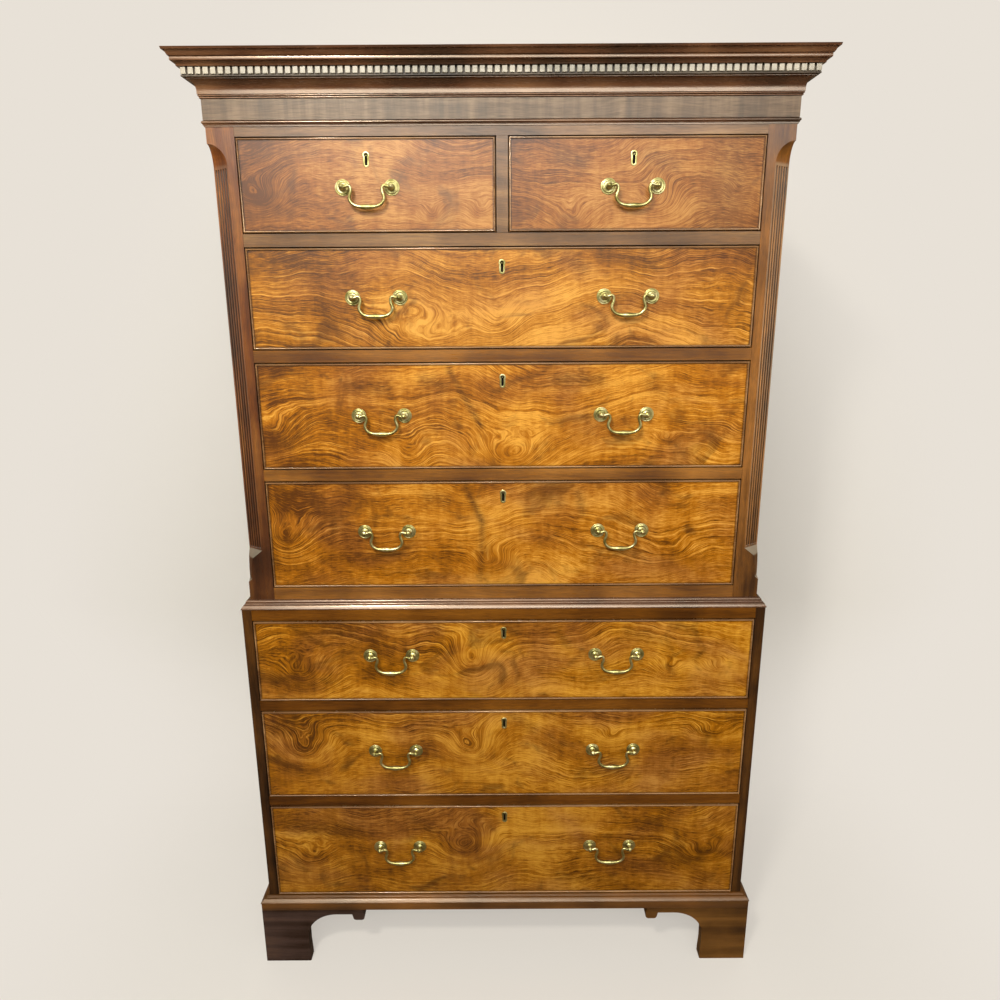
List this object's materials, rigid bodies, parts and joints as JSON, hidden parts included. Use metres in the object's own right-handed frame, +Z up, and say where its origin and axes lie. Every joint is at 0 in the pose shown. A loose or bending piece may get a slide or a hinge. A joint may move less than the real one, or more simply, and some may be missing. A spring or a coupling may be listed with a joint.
{
  "type": "chest on chest",
  "caption": "Tall mahogany chest on chest: a drawer chest with canted fluted corners and a dentil cornice standing on a wider drawer chest with bracket feet and swinging brass bails.",
  "frame": {"origin": "middle of the base of the bounding box, on the floor", "axes": "+Z up; the drawers face -Y and the back is +Y; +X is on the right of someone who faces the drawers"},
  "size_m": [1.099, 0.5454, 1.8261],
  "materials": {
    "case_mahogany": "old polish, satin",
    "dark_mahogany": "darkened old polish, satin",
    "front_mahogany": "figured veneer, waxed",
    "drawer_oak": "bare, dry",
    "back_pine": "bare, dry",
    "brass": "aged, rubbed bright"
  },
  "bodies": {
    "lower_chest": {"lower_left_side": "case_mahogany", "lower_right_side": "case_mahogany", "lower_top_board": "back_pine", "lower_bottom_board": "back_pine", "lower_back": "back_pine", "lower_top_rail": "case_mahogany", "lower_dustboard_1": "case_mahogany", "lower_dustboard_2": "case_mahogany", "waist_moulding": "case_mahogany", "base_moulding": "case_mahogany", "front_left_foot": "dark_mahogany", "front_right_foot": "dark_mahogany", "rear_left_foot": "dark_mahogany", "rear_right_foot": "dark_mahogany"},
    "upper_chest": {"upper_left_side": "case_mahogany", "upper_right_side": "case_mahogany", "left_corner_post": "case_mahogany", "right_corner_post": "case_mahogany", "upper_top_board": "back_pine", "upper_bottom_board": "case_mahogany", "upper_back": "back_pine", "upper_top_rail": "case_mahogany", "small_drawer_divider": "case_mahogany", "upper_dustboard_1": "case_mahogany", "upper_dustboard_2": "case_mahogany", "upper_dustboard_3": "case_mahogany", "frieze": "case_mahogany", "astragal": "case_mahogany", "cornice": "case_mahogany", "dentil_band": "case_mahogany"},
    "lower_drawer_3": {"lower_drawer_3_front": "front_mahogany", "lower_drawer_3_box": "drawer_oak"},
    "lower_drawer_3_left_bail": {"lower_drawer_3_left_bail": "brass"},
    "lower_drawer_3_right_bail": {"lower_drawer_3_right_bail": "brass"},
    "lower_drawer_2": {"lower_drawer_2_front": "front_mahogany", "lower_drawer_2_box": "drawer_oak"},
    "lower_drawer_2_left_bail": {"lower_drawer_2_left_bail": "brass"},
    "lower_drawer_2_right_bail": {"lower_drawer_2_right_bail": "brass"},
    "lower_drawer_1": {"lower_drawer_1_front": "front_mahogany", "lower_drawer_1_box": "drawer_oak"},
    "lower_drawer_1_left_bail": {"lower_drawer_1_left_bail": "brass"},
    "lower_drawer_1_right_bail": {"lower_drawer_1_right_bail": "brass"},
    "upper_drawer_3": {"upper_drawer_3_front": "front_mahogany", "upper_drawer_3_box": "drawer_oak"},
    "upper_drawer_3_left_bail": {"upper_drawer_3_left_bail": "brass"},
    "upper_drawer_3_right_bail": {"upper_drawer_3_right_bail": "brass"},
    "upper_drawer_2": {"upper_drawer_2_front": "front_mahogany", "upper_drawer_2_box": "drawer_oak"},
    "upper_drawer_2_left_bail": {"upper_drawer_2_left_bail": "brass"},
    "upper_drawer_2_right_bail": {"upper_drawer_2_right_bail": "brass"},
    "upper_drawer_1": {"upper_drawer_1_front": "front_mahogany", "upper_drawer_1_box": "drawer_oak"},
    "upper_drawer_1_left_bail": {"upper_drawer_1_left_bail": "brass"},
    "upper_drawer_1_right_bail": {"upper_drawer_1_right_bail": "brass"},
    "left_short_drawer": {"left_short_drawer_front": "front_mahogany", "left_short_drawer_box": "drawer_oak"},
    "left_short_drawer_bail": {"left_short_drawer_bail": "brass"},
    "right_short_drawer": {"right_short_drawer_front": "front_mahogany", "right_short_drawer_box": "drawer_oak"},
    "right_short_drawer_bail": {"right_short_drawer_bail": "brass"}
  },
  "joints": [
    {"name": "upper_chest_lift", "type": "slide", "parent": "lower_chest", "child": "upper_chest", "axis": [0, 0, 1], "range_m": [0, 0.05]},
    {"name": "lower_drawer_3_slide", "type": "slide", "parent": "lower_chest", "child": "lower_drawer_3", "axis": [0, -1, 0], "range_m": [0, 0.38]},
    {"name": "lower_drawer_3_left_bail_hinge", "type": "hinge", "parent": "lower_drawer_3", "child": "lower_drawer_3_left_bail", "pos_m": [-0.226, -0.2545, 0.28687], "axis": [-1, 0, 0], "range_deg": [-13, 193]},
    {"name": "lower_drawer_3_right_bail_hinge", "type": "hinge", "parent": "lower_drawer_3", "child": "lower_drawer_3_right_bail", "pos_m": [0.226, -0.2545, 0.28687], "axis": [-1, 0, 0], "range_deg": [-13, 193]},
    {"name": "lower_drawer_2_slide", "type": "slide", "parent": "lower_chest", "child": "lower_drawer_2", "axis": [0, -1, 0], "range_m": [0, 0.38]},
    {"name": "lower_drawer_2_left_bail_hinge", "type": "hinge", "parent": "lower_drawer_2", "child": "lower_drawer_2_left_bail", "pos_m": [-0.226, -0.2545, 0.52185], "axis": [-1, 0, 0], "range_deg": [-13, 193]},
    {"name": "lower_drawer_2_right_bail_hinge", "type": "hinge", "parent": "lower_drawer_2", "child": "lower_drawer_2_right_bail", "pos_m": [0.226, -0.2545, 0.52185], "axis": [-1, 0, 0], "range_deg": [-13, 193]},
    {"name": "lower_drawer_1_slide", "type": "slide", "parent": "lower_chest", "child": "lower_drawer_1", "axis": [0, -1, 0], "range_m": [0, 0.38]},
    {"name": "lower_drawer_1_left_bail_hinge", "type": "hinge", "parent": "lower_drawer_1", "child": "lower_drawer_1_left_bail", "pos_m": [-0.226, -0.2545, 0.73876], "axis": [-1, 0, 0], "range_deg": [-13, 193]},
    {"name": "lower_drawer_1_right_bail_hinge", "type": "hinge", "parent": "lower_drawer_1", "child": "lower_drawer_1_right_bail", "pos_m": [0.226, -0.2545, 0.73876], "axis": [-1, 0, 0], "range_deg": [-13, 193]},
    {"name": "upper_drawer_3_slide", "type": "slide", "parent": "upper_chest", "child": "upper_drawer_3", "axis": [0, -1, 0], "range_m": [0, 0.38]},
    {"name": "upper_drawer_3_left_bail_hinge", "type": "hinge", "parent": "upper_drawer_3", "child": "upper_drawer_3_left_bail", "pos_m": [-0.226, -0.24, 0.99487], "axis": [-1, 0, 0], "range_deg": [-13, 193]},
    {"name": "upper_drawer_3_right_bail_hinge", "type": "hinge", "parent": "upper_drawer_3", "child": "upper_drawer_3_right_bail", "pos_m": [0.226, -0.24, 0.99487], "axis": [-1, 0, 0], "range_deg": [-13, 193]},
    {"name": "upper_drawer_2_slide", "type": "slide", "parent": "upper_chest", "child": "upper_drawer_2", "axis": [0, -1, 0], "range_m": [0, 0.38]},
    {"name": "upper_drawer_2_left_bail_hinge", "type": "hinge", "parent": "upper_drawer_2", "child": "upper_drawer_2_left_bail", "pos_m": [-0.226, -0.24, 1.22119], "axis": [-1, 0, 0], "range_deg": [-13, 193]},
    {"name": "upper_drawer_2_right_bail_hinge", "type": "hinge", "parent": "upper_drawer_2", "child": "upper_drawer_2_right_bail", "pos_m": [0.226, -0.24, 1.22119], "axis": [-1, 0, 0], "range_deg": [-13, 193]},
    {"name": "upper_drawer_1_slide", "type": "slide", "parent": "upper_chest", "child": "upper_drawer_1", "axis": [0, -1, 0], "range_m": [0, 0.38]},
    {"name": "upper_drawer_1_left_bail_hinge", "type": "hinge", "parent": "upper_drawer_1", "child": "upper_drawer_1_left_bail", "pos_m": [-0.226, -0.24, 1.43413], "axis": [-1, 0, 0], "range_deg": [-13, 193]},
    {"name": "upper_drawer_1_right_bail_hinge", "type": "hinge", "parent": "upper_drawer_1", "child": "upper_drawer_1_right_bail", "pos_m": [0.226, -0.24, 1.43413], "axis": [-1, 0, 0], "range_deg": [-13, 193]},
    {"name": "left_short_drawer_slide", "type": "slide", "parent": "upper_chest", "child": "left_short_drawer", "axis": [0, -1, 0], "range_m": [0, 0.38]},
    {"name": "left_short_drawer_bail_hinge", "type": "hinge", "parent": "left_short_drawer", "child": "left_short_drawer_bail", "pos_m": [-0.233, -0.24, 1.61839], "axis": [-1, 0, 0], "range_deg": [-13, 193]},
    {"name": "right_short_drawer_slide", "type": "slide", "parent": "upper_chest", "child": "right_short_drawer", "axis": [0, -1, 0], "range_m": [0, 0.38]},
    {"name": "right_short_drawer_bail_hinge", "type": "hinge", "parent": "right_short_drawer", "child": "right_short_drawer_bail", "pos_m": [0.228, -0.24, 1.61839], "axis": [-1, 0, 0], "range_deg": [-13, 193]}
  ]
}
